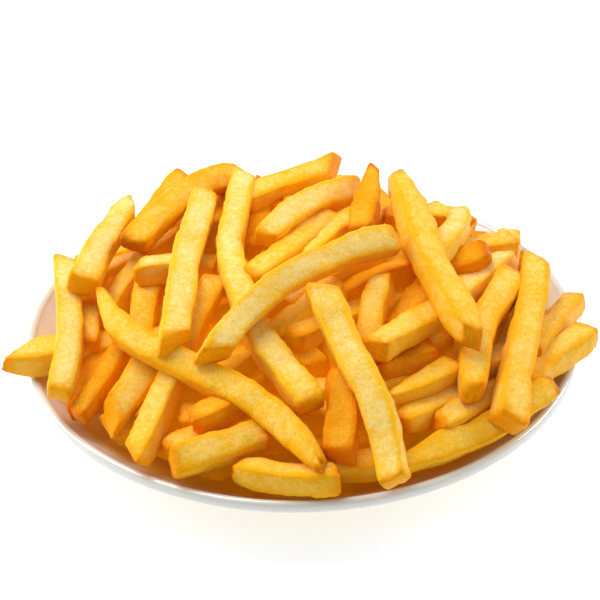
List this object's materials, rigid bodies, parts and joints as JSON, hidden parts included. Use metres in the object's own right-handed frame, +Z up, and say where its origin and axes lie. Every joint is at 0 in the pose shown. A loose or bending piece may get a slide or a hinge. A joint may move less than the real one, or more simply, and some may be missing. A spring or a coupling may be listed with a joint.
{
  "type": "french fries portion on plate",
  "caption": "Heap of thick-cut french fries piled high on a shallow round white porcelain plate, some fries resting over its rim.",
  "frame": {"origin": "centre of the plate's resting face, on the table top", "axes": "+Z up through the middle of the plate; -Y towards the side the fries fan out over, +X to its right"},
  "size_m": [0.2102, 0.2077, 0.0743],
  "materials": {
    "glazed_white": "clear-glazed white porcelain, smooth and glossy",
    "fried_potato": "fried potato, thin blistered crust with a soft oily sheen, browner on edges and tips"
  },
  "bodies": {
    "root": {"plate": "glazed_white", "fries_heap": "fried_potato"}
  },
  "joints": []
}
